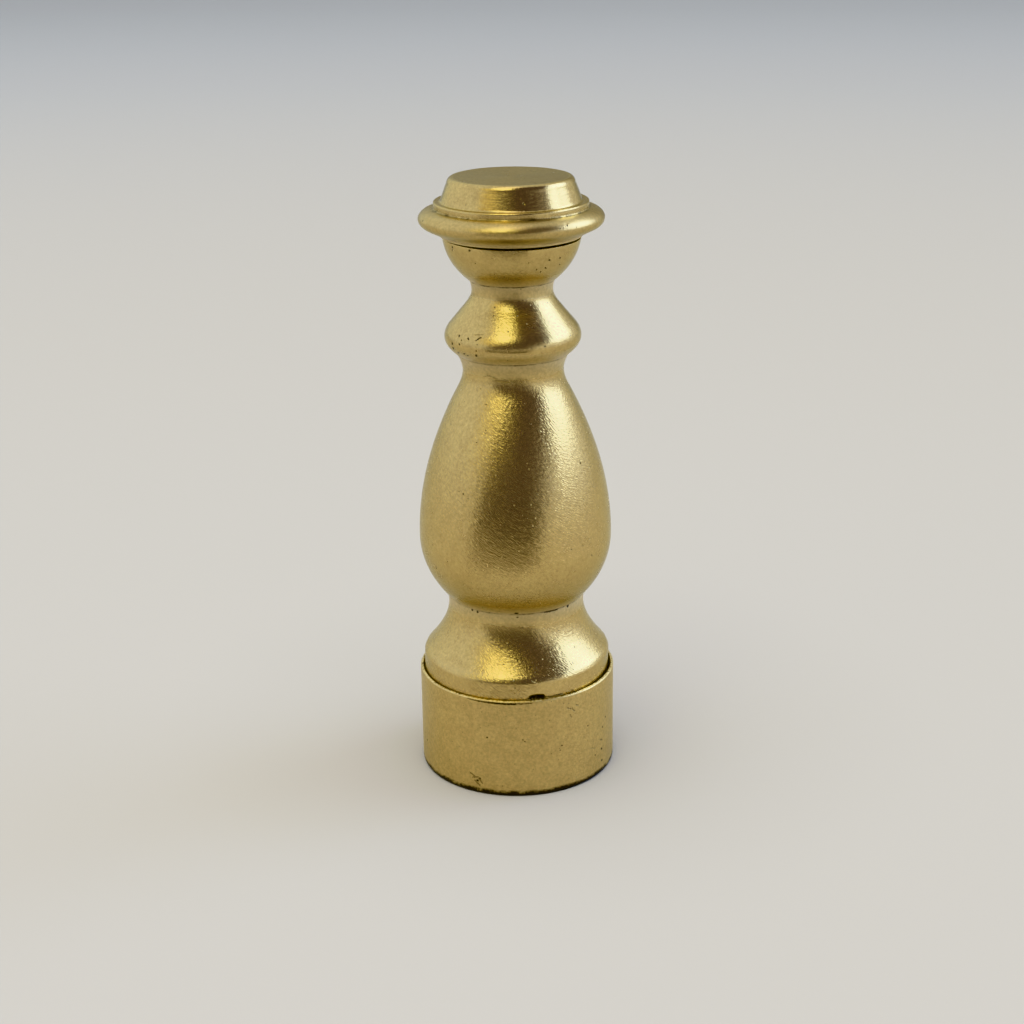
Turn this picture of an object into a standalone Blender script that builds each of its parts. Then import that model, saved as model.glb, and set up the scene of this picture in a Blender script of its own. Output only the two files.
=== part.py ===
"""Turned brass lamp finial: a cap, a baluster and a base collar with a tapped hole.

Metres, +Z up. The origin is the centre of the collar's flat underside, and the
side that carries the small chip faces -Y. All driving sizes are in millimetres.
"""
import math

import bmesh
import bpy
from mathutils import Matrix, Vector

MM = 0.001
FLATS = 48
MERGE_DISTANCE = 0.0005 * MM
SHARP_ANGLE = math.radians(28)

# Whole finial: the usual two inches
HEIGHT = 50.80

# Tapped hole for a 1/4 inch stud, at its nominal size, drilled up from below
HOLE_RADIUS = 3.175
HOLE_CHAMFER = 0.50
HOLE_WALL_TOP = 11.00
DRILL_POINT_ANGLE = math.radians(118)

# Base collar: a plain drum with a shallow socket that takes the baluster's foot
COLLAR_RADIUS = 8.37
COLLAR_HEIGHT = 8.81
COLLAR_FOOT_ROUND = 0.35
RIM_RADIUS = 8.30
RIM_EASING = 0.40
SOCKET_RADIUS = 8.10
SOCKET_FLOOR = 7.30
SOCKET_EDGE = 0.04

# Foot of the baluster: a plain band, then a hollow sweep up to a short neck
FOOT_SEAT_GAP = 0.30
FOOT_RADIUS = 7.90
FOOT_CHAMFER = 0.15
FOOT_BAND_TOP = 10.25
FOOT_ARRIS_RADIUS = 7.80
FOOT_ARRIS_HEIGHT = 10.57
FOOT_SWEEP_CORNER = 12.84
FOOT_NECK_RADIUS = 5.76
FOOT_NECK_HEIGHT = 14.75

# Vase: a full belly that runs up into a slim neck
VASE_FOOT_RADIUS = 5.80
VASE_FOOT_HEIGHT = 15.55
VASE_LOWER_CORNER = 17.98
VASE_RADIUS = 8.11
VASE_BELLY_HEIGHT = 20.85
VASE_UPPER_CORNER = 26.98
VASE_SHOULDER_RADIUS = 4.60
VASE_SHOULDER_HEIGHT = 33.60
NECK_RADIUS = 4.16
NECK_LOWER_CORNER = 34.43
NECK_HEIGHT = 35.05
NECK_UPPER_CORNER = 35.66

# Bead: a round belly below a straight taper
BEAD_CREASE_RADIUS = 4.62
BEAD_CREASE_HEIGHT = 36.50
BEAD_RADIUS = 5.60
BEAD_LOWER_CORNER = 37.20
BEAD_HEIGHT = 37.93
BEAD_UPPER_CORNER = 38.44
TAPER_FOOT_RADIUS = 5.10
TAPER_FOOT_HEIGHT = 39.04
TAPER_TOP_RADIUS = 3.95
TAPER_TOP_HEIGHT = 40.41

# Bowl: it opens from the slimmest neck to the seat of the cap
SLIM_NECK_RADIUS = 3.31
SLIM_NECK_LOWER_CORNER = 41.17
SLIM_NECK_HEIGHT = 41.70
SLIM_NECK_UPPER_CORNER = 42.13
BOWL_CREASE_RADIUS = 3.50
BOWL_CREASE_HEIGHT = 42.55
BOWL_CORNER_RADIUS = 5.26
BOWL_CORNER_HEIGHT = 43.91
BOWL_RIM_RADIUS = 5.61
BOWL_RIM_HEIGHT = 45.92

# Cap: a lip, an undercut cone, a round flange, a drum and a flat-topped knob
CAP_SEAT_HEIGHT = 46.10
LIP_RADIUS = 5.72
LIP_TOP_HEIGHT = 46.30
CONE_FOOT_RADIUS = 5.95
CONE_FOOT_HEIGHT = 46.35
CONE_TOP_RADIUS = 6.85
CONE_TOP_HEIGHT = 46.80
FLANGE_RADIUS = 7.49
FLANGE_LOWER_CORNER = 47.05
FLANGE_HEIGHT = 47.58
FLANGE_CORNER_RADIUS = 7.35
FLANGE_UPPER_CORNER = 48.20
FLANGE_CREASE_RADIUS = 6.30
FLANGE_CREASE_HEIGHT = 48.36
DRUM_RADIUS = 6.24
DRUM_FOOT_HEIGHT = 48.40
DRUM_TOP_HEIGHT = 48.78
DRUM_EDGE_RADIUS = 6.10
LEDGE_HEIGHT = 48.90
LEDGE_INNER_RADIUS = 5.76
KNOB_FOOT_RADIUS = 5.66
KNOB_FOOT_HEIGHT = 49.00
KNOB_SHOULDER_RADIUS = 5.16
KNOB_SHOULDER_HEIGHT = 50.32
KNOB_CORNER_RADIUS = 5.05
KNOB_FACE_RADIUS = 4.66

# Old chip in the foot's band, just above the collar's rim
CHIP_BEARING = math.radians(11.3)
CHIP_HEIGHT = 8.80
CHIP_HALF_WIDTH = 0.75
CHIP_HALF_HEIGHT = 0.50
CHIP_DEPTH = 0.35
CHIP_DETAIL = 2

# Finish: linear colours of worn satin brass
CAP_COLOUR = (0.40, 0.33, 0.13, 1.0)
BALUSTER_COLOUR = (0.40, 0.31, 0.11, 1.0)
COLLAR_COLOUR = (0.36, 0.29, 0.11, 1.0)
CAP_ROUGHNESS = 0.30
BALUSTER_ROUGHNESS = 0.36
COLLAR_ROUGHNESS = 0.48


class Outline:
    """Half section of a turned piece, as points (radius, height) in millimetres."""

    def __init__(self, radius, height):
        self.points = [(radius, height)]

    def line(self, radius, height):
        """Run straight to a point."""
        self.points.append((radius, height))

    def sweep(self, corner, end, steps):
        """Run to end in a curve that sets off towards corner and arrives from it."""
        start = Vector(self.points[-1])
        corner = Vector(corner)
        end = Vector(end)
        for step in range(1, steps + 1):
            t = step / steps
            point = (1 - t) ** 2 * start + 2 * t * (1 - t) * corner + t ** 2 * end
            self.points.append((point.x, point.y))


def satin_brass(name, colour, roughness):
    """Brass with a matt, worn surface."""
    material = bpy.data.materials.new(name)
    material.use_nodes = True
    shader = material.node_tree.nodes["Principled BSDF"]
    shader.inputs["Base Color"].default_value = colour
    shader.inputs["Metallic"].default_value = 1.0
    shader.inputs["Roughness"].default_value = roughness
    material.diffuse_color = colour
    return material


def turn(name, outline, material, bored=False):
    """Turn an outline about the Z axis into one closed body."""
    body = bmesh.new()
    verts = [body.verts.new((radius * MM, 0.0, height * MM)) for radius, height in outline.points]
    edges = [body.edges.new(pair) for pair in zip(verts, verts[1:])]
    if bored:
        edges.append(body.edges.new((verts[-1], verts[0])))
    bmesh.ops.spin(body, geom=verts + edges, cent=(0, 0, 0), axis=(0, 0, 1),
                   angle=math.tau, steps=FLATS, use_merge=True)
    bmesh.ops.remove_doubles(body, verts=body.verts, dist=MERGE_DISTANCE)
    bmesh.ops.recalc_face_normals(body, faces=body.faces)
    mesh = bpy.data.meshes.new(name)
    body.to_mesh(mesh)
    body.free()
    mesh.shade_smooth()
    mesh.set_sharp_from_angle(angle=SHARP_ANGLE)
    mesh.materials.append(material)
    piece = bpy.data.objects.new(name, mesh)
    bpy.context.collection.objects.link(piece)
    return piece


def collar_outline():
    """Collar from the socket's mouth down the outside, in at the foot and up the bore."""
    outline = Outline(SOCKET_RADIUS, COLLAR_HEIGHT - SOCKET_EDGE)
    outline.line(SOCKET_RADIUS + SOCKET_EDGE, COLLAR_HEIGHT)
    outline.line(RIM_RADIUS, COLLAR_HEIGHT)
    outline.sweep((COLLAR_RADIUS, COLLAR_HEIGHT), (COLLAR_RADIUS, COLLAR_HEIGHT - RIM_EASING), 2)
    outline.line(COLLAR_RADIUS, COLLAR_FOOT_ROUND)
    outline.sweep((COLLAR_RADIUS, 0.0), (COLLAR_RADIUS - COLLAR_FOOT_ROUND, 0.0), 3)
    outline.line(HOLE_RADIUS + HOLE_CHAMFER, 0.0)
    outline.line(HOLE_RADIUS, HOLE_CHAMFER)
    outline.line(HOLE_RADIUS, SOCKET_FLOOR)
    outline.line(SOCKET_RADIUS, SOCKET_FLOOR)
    return outline


def add_bowl(outline):
    """Bowl from its rim down to the slim neck."""
    outline.line(BOWL_RIM_RADIUS, BOWL_RIM_HEIGHT)
    outline.sweep((BOWL_CORNER_RADIUS, BOWL_CORNER_HEIGHT), (BOWL_CREASE_RADIUS, BOWL_CREASE_HEIGHT), 7)
    outline.sweep((SLIM_NECK_RADIUS, SLIM_NECK_UPPER_CORNER), (SLIM_NECK_RADIUS, SLIM_NECK_HEIGHT), 2)
    outline.sweep((SLIM_NECK_RADIUS, SLIM_NECK_LOWER_CORNER), (TAPER_TOP_RADIUS, TAPER_TOP_HEIGHT), 3)


def add_bead(outline):
    """Straight taper and the round bead under it."""
    outline.line(TAPER_FOOT_RADIUS, TAPER_FOOT_HEIGHT)
    outline.sweep((BEAD_RADIUS, BEAD_UPPER_CORNER), (BEAD_RADIUS, BEAD_HEIGHT), 3)
    outline.sweep((BEAD_RADIUS, BEAD_LOWER_CORNER), (BEAD_CREASE_RADIUS, BEAD_CREASE_HEIGHT), 4)


def add_vase(outline):
    """Neck under the bead, then the vase's long upper and short lower curve."""
    outline.sweep((NECK_RADIUS, NECK_UPPER_CORNER), (NECK_RADIUS, NECK_HEIGHT), 4)
    outline.sweep((NECK_RADIUS, NECK_LOWER_CORNER), (VASE_SHOULDER_RADIUS, VASE_SHOULDER_HEIGHT), 3)
    outline.sweep((VASE_RADIUS, VASE_UPPER_CORNER), (VASE_RADIUS, VASE_BELLY_HEIGHT), 10)
    outline.sweep((VASE_RADIUS, VASE_LOWER_CORNER), (VASE_FOOT_RADIUS, VASE_FOOT_HEIGHT), 7)


def add_foot(outline):
    """Short neck, hollow sweep and the band that stands in the collar."""
    seat = SOCKET_FLOOR + FOOT_SEAT_GAP
    outline.line(FOOT_NECK_RADIUS, FOOT_NECK_HEIGHT)
    outline.sweep((FOOT_NECK_RADIUS, FOOT_SWEEP_CORNER), (FOOT_ARRIS_RADIUS, FOOT_ARRIS_HEIGHT), 7)
    outline.line(FOOT_RADIUS, FOOT_BAND_TOP)
    outline.line(FOOT_RADIUS, seat + FOOT_CHAMFER)
    outline.line(FOOT_RADIUS - FOOT_CHAMFER, seat)


def add_blind_hole(outline):
    """Underside of the foot and the hole drilled up into it, with the drill's cone."""
    outline.line(HOLE_RADIUS, SOCKET_FLOOR + FOOT_SEAT_GAP)
    outline.line(HOLE_RADIUS, HOLE_WALL_TOP)
    outline.line(0.0, HOLE_WALL_TOP + HOLE_RADIUS / math.tan(DRILL_POINT_ANGLE / 2))


def baluster_outline():
    """Baluster from its flat top down to the blind hole under its foot."""
    outline = Outline(0.0, BOWL_RIM_HEIGHT)
    add_bowl(outline)
    add_bead(outline)
    add_vase(outline)
    add_foot(outline)
    add_blind_hole(outline)
    return outline


def cap_outline():
    """Cap from the knob's flat face down over the drum and flange to its seat."""
    outline = Outline(0.0, HEIGHT)
    outline.line(KNOB_FACE_RADIUS, HEIGHT)
    outline.sweep((KNOB_CORNER_RADIUS, HEIGHT), (KNOB_SHOULDER_RADIUS, KNOB_SHOULDER_HEIGHT), 4)
    outline.line(KNOB_FOOT_RADIUS, KNOB_FOOT_HEIGHT)
    outline.line(LEDGE_INNER_RADIUS, LEDGE_HEIGHT)
    outline.line(DRUM_EDGE_RADIUS, LEDGE_HEIGHT)
    outline.sweep((DRUM_RADIUS, LEDGE_HEIGHT), (DRUM_RADIUS, DRUM_TOP_HEIGHT), 2)
    outline.line(DRUM_RADIUS, DRUM_FOOT_HEIGHT)
    outline.line(FLANGE_CREASE_RADIUS, FLANGE_CREASE_HEIGHT)
    outline.sweep((FLANGE_CORNER_RADIUS, FLANGE_UPPER_CORNER), (FLANGE_RADIUS, FLANGE_HEIGHT), 6)
    outline.sweep((FLANGE_RADIUS, FLANGE_LOWER_CORNER), (CONE_TOP_RADIUS, CONE_TOP_HEIGHT), 4)
    outline.line(CONE_FOOT_RADIUS, CONE_FOOT_HEIGHT)
    outline.line(LIP_RADIUS, LIP_TOP_HEIGHT)
    outline.line(LIP_RADIUS, CAP_SEAT_HEIGHT)
    outline.line(0.0, CAP_SEAT_HEIGHT)
    return outline


def chip_cutter():
    """Flattened ball that takes the chip out of the foot's band."""
    across = FOOT_RADIUS * math.sin(CHIP_BEARING)
    towards_front = -FOOT_RADIUS * math.cos(CHIP_BEARING)
    matrix = (Matrix.Translation(Vector((across, towards_front, CHIP_HEIGHT)) * MM)
              @ Matrix.Rotation(CHIP_BEARING, 4, "Z")
              @ Matrix.Diagonal((CHIP_HALF_WIDTH * MM, CHIP_DEPTH * MM, CHIP_HALF_HEIGHT * MM, 1.0)))
    ball = bmesh.new()
    bmesh.ops.create_icosphere(ball, subdivisions=CHIP_DETAIL, radius=1.0, matrix=matrix)
    mesh = bpy.data.meshes.new("chip_cutter")
    ball.to_mesh(mesh)
    ball.free()
    cutter = bpy.data.objects.new("chip_cutter", mesh)
    bpy.context.collection.objects.link(cutter)
    cutter.hide_render = True
    cutter.display_type = "WIRE"
    return cutter


def cut(piece, cutter):
    """Take the cutter's volume out of a piece."""
    boolean = piece.modifiers.new("Chip", "BOOLEAN")
    boolean.operation = "DIFFERENCE"
    boolean.solver = "EXACT"
    boolean.object = cutter


def main():
    """Clear the scene and build the three pieces in place."""
    for old in list(bpy.data.objects):
        bpy.data.objects.remove(old)
    collar_brass = satin_brass("matt brass", COLLAR_COLOUR, COLLAR_ROUGHNESS)
    baluster_brass = satin_brass("satin brass", BALUSTER_COLOUR, BALUSTER_ROUGHNESS)
    cap_brass = satin_brass("brushed brass", CAP_COLOUR, CAP_ROUGHNESS)
    turn("base_collar", collar_outline(), collar_brass, bored=True)
    baluster = turn("baluster", baluster_outline(), baluster_brass)
    cut(baluster, chip_cutter())
    turn("cap", cap_outline(), cap_brass)


main()
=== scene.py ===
"""Turned brass lamp finial: its three pieces, their worn finish and a small studio."""

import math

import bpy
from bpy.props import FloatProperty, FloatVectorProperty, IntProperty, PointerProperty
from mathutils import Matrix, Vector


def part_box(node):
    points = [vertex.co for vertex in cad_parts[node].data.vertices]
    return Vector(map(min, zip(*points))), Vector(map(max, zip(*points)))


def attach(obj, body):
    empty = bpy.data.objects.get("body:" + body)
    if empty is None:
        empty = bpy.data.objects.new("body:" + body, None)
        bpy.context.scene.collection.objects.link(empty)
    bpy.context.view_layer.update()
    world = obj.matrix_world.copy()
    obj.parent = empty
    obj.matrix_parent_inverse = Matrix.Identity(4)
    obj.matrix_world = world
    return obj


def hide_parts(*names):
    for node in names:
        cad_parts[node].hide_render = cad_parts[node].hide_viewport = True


bl_info = {
    "name": "Brass Lamp Finial",
    "version": (1, 0, 0),
    "blender": (4, 5, 0),
    "location": "3D View > Sidebar > Finial",
    "description": "Turns a worn brass lamp finial in three pieces and sets it in a small studio",
    "category": "Add Mesh",
}

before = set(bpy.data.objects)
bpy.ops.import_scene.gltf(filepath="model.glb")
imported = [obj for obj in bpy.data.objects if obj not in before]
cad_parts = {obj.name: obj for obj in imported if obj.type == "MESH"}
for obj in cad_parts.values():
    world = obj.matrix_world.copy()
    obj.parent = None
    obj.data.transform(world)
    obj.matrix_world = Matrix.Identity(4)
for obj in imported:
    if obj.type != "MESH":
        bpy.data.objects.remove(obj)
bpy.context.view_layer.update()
COLLAR_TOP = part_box("base_collar")[1]
BALUSTER_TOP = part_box("baluster")[1]
CAP_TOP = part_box("cap")[1]

MM = 0.001
WELD_DISTANCE = 0.0005 * MM
EASE_STEPS = 4
HIDDEN_SPACING = 0.6 * MM
FILM_REACH = 5.0


def linear(hex_colour):
    """Linear red, green and blue of an sRGB colour such as #cfba73."""
    shares = [int(hex_colour[place:place + 2], 16) / 255 for place in (1, 3, 5)]
    return [share / 12.92 if share <= 0.04045 else ((share + 0.055) / 1.055) ** 2.4
            for share in shares]


def length(name, description, default):
    """A size that the panel shows, in metres."""
    return FloatProperty(name=name, description=description, default=default, min=0.0, precision=5,
                         subtype="DISTANCE", unit="LENGTH")


def colour(name, description, hex_colour):
    """A colour that the panel shows."""
    return FloatVectorProperty(name=name, description=description, default=linear(hex_colour),
                               size=3, min=0.0, max=1.0, subtype="COLOR")


def side(name, description, degrees):
    """A side of the object, in degrees right of the front."""
    return FloatProperty(name=name, description=description, default=math.radians(degrees),
                         subtype="ANGLE", unit="ROTATION")


def strength(name, description, default):
    """A number from nothing upwards."""
    return FloatProperty(name=name, description=description, default=default, min=0.0)


def share(name, description, default):
    """A share from nothing to the whole."""
    return FloatProperty(name=name, description=description, default=default, min=0.0, max=1.0,
                         subtype="FACTOR")


# Half sections


def quadratic(start, corner, end, steps):
    """Points after start on a curve that sets off towards corner and arrives from it."""
    points = []
    for step in range(1, steps + 1):
        t = step / steps
        points.append((1 - t) ** 2 * start + 2 * t * (1 - t) * corner + t ** 2 * end)
    return points


class HalfSection:
    """Half section of a turned piece, walked down its outer side, as points (radius, height).

    A corner can be eased, as a cloth wheel leaves it, or nicked, as a parting tool does.
    Dark dirt lies in it and polish comes on it, and both fade along the outline. At the collar's
    foot the dark mark is painted shade, and on the edges the polish also paints a highlight. A pale
    film of old polish reaches further out.
    """

    def __init__(self, radius, height, spacing):
        self.points = [Vector((radius, height))]
        self.corners = {}
        self.spacing = spacing

    def mark(self, ease=0.0, nick=0.0, soil=0.0, polish=0.0, film=0.0, reach=0.0):
        """Say how the corner at the last point looks."""
        self.corners[len(self.points) - 1] = {"ease": ease, "nick": nick, "soil": soil,
                                              "polish": polish, "film": film, "reach": reach}

    def line(self, radius, height, spacing=None):
        """Run straight to a point."""
        start = self.points[-1]
        end = Vector((radius, height))
        steps = max(1, math.ceil((end - start).length / (spacing or self.spacing)))
        self.points += [start.lerp(end, step / steps) for step in range(1, steps + 1)]

    def sweep(self, corner, end, spacing=None):
        """Run to end in a curve that sets off towards corner and arrives from it."""
        start = self.points[-1]
        corner = Vector(corner)
        end = Vector(end)
        run = ((corner - start).length + (end - corner).length + (end - start).length) / 2
        steps = max(3, math.ceil(run / (spacing or self.spacing)))
        self.points += quadratic(start, corner, end, steps)

    def finish(self):
        """Work the corners, then lay soil, polish and film along the outline."""
        path = []
        middles = []
        for index, point in enumerate(self.points):
            corner = self.corners.get(index)
            if corner and corner["ease"]:
                before = (point - self.points[index - 1]).normalized()
                after = (self.points[index + 1] - point).normalized()
                start = point - before * corner["ease"]
                end = point + after * corner["ease"]
                if corner["nick"]:
                    inward = Vector((before.y + after.y, -before.x - after.x)).normalized()
                    path += [start, point + inward * corner["nick"], end]
                    middles.append((len(path) - 2, corner))
                else:
                    path += [start] + quadratic(start, point, end, EASE_STEPS)
                    middles.append((len(path) - EASE_STEPS // 2 - 1, corner))
            else:
                path.append(point)
                if corner:
                    middles.append((len(path) - 1, corner))
        self.path = path
        self.soil = self.spread(middles, "soil")
        self.polish = self.spread(middles, "polish")
        self.film = self.spread(middles, "film", FILM_REACH)
        return self

    def spread(self, middles, kind, widen=1.0):
        """Strength of soil, polish or film at each point, from the corners near it."""
        runs = [0.0]
        for start, end in zip(self.path, self.path[1:]):
            runs.append(runs[-1] + (end - start).length)
        strengths = []
        for run in runs:
            near = [corner[kind] * max(0.0, 1 - abs(run - runs[middle]) / (corner["reach"] * widen))
                    for middle, corner in middles if corner["reach"]]
            strengths.append(max(near, default=0.0))
        return strengths

    def radius_at(self, height):
        """Radius of the turned outer surface at a height."""
        for upper, lower in zip(self.path, self.path[1:]):
            if upper.y >= height >= lower.y and upper.y > lower.y:
                return lower.x + (upper.x - lower.x) * (height - lower.y) / (upper.y - lower.y)
        raise ValueError(f"no outer surface at height {height / MM:.2f} mm")

    def surface(self, bearing, height):
        """Point of the outer surface, from degrees right of the front and mm up."""
        bearing = math.radians(bearing)
        radius = self.radius_at(height * MM)
        return Vector((radius * math.sin(bearing), -radius * math.cos(bearing), height * MM))

    def unrolled(self, bearing, height):
        """The same point with the surface unrolled: way round, radius and height."""
        radius = self.radius_at(height * MM)
        return Vector((radius * math.radians(bearing), radius, height * MM))


def bore(section, radius, low, high):
    """Run up the wall of the tapped hole, with enough points for its thread."""
    section.line(radius, low)
    section.line(radius, high, THREAD_PITCH / THREAD_STEPS)


# Collar: a plain drum with a shallow socket on top and the tapped hole through its floor
COLLAR_FOOT_ROUND = 0.35 * MM
COLLAR_RIM_EASING = 0.16 * MM
SOCKET_EDGE = 0.04 * MM
HOLE_CHAMFER = 0.50 * MM
THREAD_PITCH = 25.4 / 27 * MM
THREAD_STEPS = 9


def collar_section(sizes):
    """Collar from the socket's mouth down the outside, in at the foot and up the bore."""
    rim = sizes.height
    wall = sizes.radius
    section = HalfSection(sizes.socket_radius, rim - SOCKET_EDGE, 0.13 * MM)
    section.line(sizes.socket_radius + SOCKET_EDGE, rim, 0.05 * MM)
    # Painted highlight: the strong polish on the socket's mouth paints the bright line along the
    # rim.
    section.mark(soil=1.0, polish=1.7, reach=0.32 * MM)
    section.sweep((wall, rim), (wall, rim - COLLAR_RIM_EASING), 0.03 * MM)
    section.line(wall, COLLAR_FOOT_ROUND)
    section.sweep((wall, 0.0), (wall - COLLAR_FOOT_ROUND, 0.0), 0.07 * MM)
    # Painted shade: this heavy dark mark at the foot's round is the contact shadow under the
    # collar.
    section.mark(soil=2.8, reach=0.95 * MM)
    section.line(sizes.hole_radius + HOLE_CHAMFER, 0.0, 0.3 * MM)
    section.mark(ease=0.05 * MM, polish=0.8, reach=0.3 * MM)
    bore(section, sizes.hole_radius, HOLE_CHAMFER, sizes.socket_floor)
    section.line(sizes.socket_radius, sizes.socket_floor, HIDDEN_SPACING)
    section.mark(soil=1.0, reach=1.2 * MM)
    section.line(sizes.socket_radius, rim - SOCKET_EDGE)
    return section.finish()


# Baluster, from the foot up
FOOT_SEAT = 7.60 * MM
FOOT_INNER_RADIUS = 5.00 * MM
FOOT_CHAMFER = 0.15 * MM
FOOT_BAND_TOP = 10.25 * MM
FOOT_ARRIS = Vector((7.80, 10.57)) * MM
FOOT_SWEEP_CORNER = 12.84 * MM
FOOT_NECK_RADIUS = 5.76 * MM
FOOT_NECK_HEIGHT = 14.75 * MM
VASE_FOOT = Vector((5.80, 15.55)) * MM
VASE_LOWER_CORNER = 17.98 * MM
VASE_BELLY_HEIGHT = 20.85 * MM
VASE_UPPER_CORNER = 26.98 * MM
VASE_SHOULDER = Vector((4.60, 33.60)) * MM
NECK_LOWER_CORNER = 34.43 * MM
NECK_HEIGHT = 35.05 * MM
NECK_UPPER_CORNER = 35.66 * MM
BEAD_CREASE = Vector((4.62, 36.50)) * MM
BEAD_LOWER_CORNER = 37.20 * MM
BEAD_HEIGHT = 37.93 * MM
BEAD_UPPER_CORNER = 38.44 * MM
TAPER_FOOT = Vector((5.10, 39.04)) * MM
TAPER_TOP = Vector((3.95, 40.41)) * MM
SLIM_NECK_LOWER_CORNER = 41.17 * MM
SLIM_NECK_HEIGHT = 41.70 * MM
SLIM_NECK_UPPER_CORNER = 42.13 * MM
BOWL_CREASE = Vector((3.50, 42.55)) * MM
BOWL_CORNER = Vector((5.26, 43.91)) * MM
HOLE_WALL_TOP = 11.00 * MM
DRILL_POINT_ANGLE = math.radians(118)


def baluster_section(sizes, hole_radius):
    """Baluster from its hidden flat top down to the blind hole under its foot."""
    rim = BALUSTER_TOP.z
    section = HalfSection(0.0, rim, 0.15 * MM)
    section.line(sizes.rim_radius, rim, HIDDEN_SPACING)
    section.mark(ease=0.05 * MM, polish=0.3, soil=0.5, reach=0.3 * MM)
    section.sweep(BOWL_CORNER, BOWL_CREASE)
    section.mark(ease=0.06 * MM, nick=0.05 * MM, soil=0.9, film=0.9, reach=0.25 * MM)
    neck = sizes.slim_neck_radius
    section.sweep((neck, SLIM_NECK_UPPER_CORNER), (neck, SLIM_NECK_HEIGHT))
    section.sweep((neck, SLIM_NECK_LOWER_CORNER), TAPER_TOP)
    section.line(*TAPER_FOOT)
    section.sweep((sizes.bead_radius, BEAD_UPPER_CORNER), (sizes.bead_radius, BEAD_HEIGHT))
    section.sweep((sizes.bead_radius, BEAD_LOWER_CORNER), BEAD_CREASE)
    section.mark(ease=0.06 * MM, nick=0.05 * MM, soil=0.9, film=0.9, reach=0.3 * MM)
    section.sweep((sizes.neck_radius, NECK_UPPER_CORNER), (sizes.neck_radius, NECK_HEIGHT))
    section.sweep((sizes.neck_radius, NECK_LOWER_CORNER), VASE_SHOULDER)
    section.sweep((sizes.vase_radius, VASE_UPPER_CORNER), (sizes.vase_radius, VASE_BELLY_HEIGHT))
    section.sweep((sizes.vase_radius, VASE_LOWER_CORNER), VASE_FOOT)
    section.mark(ease=0.07 * MM, nick=0.06 * MM, soil=0.85, film=0.9, reach=0.25 * MM)
    section.line(FOOT_NECK_RADIUS, FOOT_NECK_HEIGHT)
    section.sweep((FOOT_NECK_RADIUS, FOOT_SWEEP_CORNER), FOOT_ARRIS)
    section.mark(polish=0.15, reach=0.5 * MM)
    section.line(sizes.foot_radius, FOOT_BAND_TOP)
    section.line(sizes.foot_radius, COLLAR_TOP.z)
    section.mark(soil=0.6, reach=0.2 * MM)
    section.line(sizes.foot_radius, FOOT_SEAT + FOOT_CHAMFER)
    section.line(sizes.foot_radius - FOOT_CHAMFER, FOOT_SEAT)
    section.mark(soil=1.0, reach=1.0 * MM)
    section.line(hole_radius, FOOT_SEAT, HIDDEN_SPACING)
    bore(section, hole_radius, FOOT_SEAT, HOLE_WALL_TOP)
    section.line(0.0, HOLE_WALL_TOP + hole_radius / math.tan(DRILL_POINT_ANGLE / 2), HIDDEN_SPACING)
    return section.finish()


# Cap, from its seat up
CAP_SEAT = 46.10 * MM
LIP_TOP = 46.30 * MM
CONE_FOOT = Vector((5.95, 46.35)) * MM
CONE_TOP = Vector((6.85, 46.80)) * MM
FLANGE_LOWER_CORNER = 47.05 * MM
FLANGE_HEIGHT = 47.58 * MM
FLANGE_UPPER_CORNER = Vector((7.35, 48.20)) * MM
FLANGE_CREASE = Vector((6.30, 48.36)) * MM
DRUM_FOOT = 48.40 * MM
DRUM_TOP = 48.78 * MM
DRUM_EDGE_RADIUS = 6.10 * MM
LEDGE_HEIGHT = 48.90 * MM
LEDGE_INNER_RADIUS = 5.76 * MM
KNOB_FOOT = Vector((5.66, 49.00)) * MM
KNOB_SHOULDER = Vector((5.16, 50.32)) * MM
KNOB_CORNER_RADIUS = 5.05 * MM


def cap_section(sizes):
    """Cap from the knob's flat face down over the drum and flange to its seat."""
    section = HalfSection(0.0, sizes.height, 0.08 * MM)
    section.line(sizes.face_radius, sizes.height, 0.15 * MM)
    section.mark(polish=0.7, reach=0.14 * MM)
    section.sweep((KNOB_CORNER_RADIUS, sizes.height), KNOB_SHOULDER)
    section.line(*KNOB_FOOT)
    section.mark(ease=0.03 * MM, soil=0.5, reach=0.2 * MM)
    section.line(LEDGE_INNER_RADIUS, LEDGE_HEIGHT)
    section.line(DRUM_EDGE_RADIUS, LEDGE_HEIGHT)
    section.sweep((sizes.drum_radius, LEDGE_HEIGHT), (sizes.drum_radius, DRUM_TOP))
    section.mark(polish=0.2, reach=0.2 * MM)
    section.line(sizes.drum_radius, DRUM_FOOT)
    section.line(*FLANGE_CREASE)
    # The dark mark at the flange crease reaches up the drum: dirt in the crease, and painted shade
    # on the drum above it.
    section.mark(soil=0.85, reach=0.45 * MM)
    section.sweep(FLANGE_UPPER_CORNER, (sizes.flange_radius, FLANGE_HEIGHT))
    section.sweep((sizes.flange_radius, FLANGE_LOWER_CORNER), CONE_TOP)
    section.mark(ease=0.04 * MM, nick=0.03 * MM, soil=0.7, reach=0.2 * MM)
    section.line(*CONE_FOOT)
    section.mark(ease=0.03 * MM, nick=0.03 * MM, soil=1.0, film=0.7, reach=0.18 * MM)
    section.line(sizes.lip_radius, LIP_TOP)
    section.line(sizes.lip_radius, CAP_SEAT)
    section.mark(ease=0.03 * MM, polish=0.5, reach=0.12 * MM)
    section.line(0.0, CAP_SEAT, HIDDEN_SPACING)
    return section.finish()


# Helpers


def new_object(name, data):
    """Object in the scene, with its data."""
    made = bpy.data.objects.new(name, data)
    bpy.context.scene.collection.objects.link(made)
    return made


def new_material(name):
    """Material, its node tree and its shader."""
    material = bpy.data.materials.new(name)
    material.use_nodes = True
    tree = material.node_tree
    return material, tree, tree.nodes["Principled BSDF"]


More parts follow.
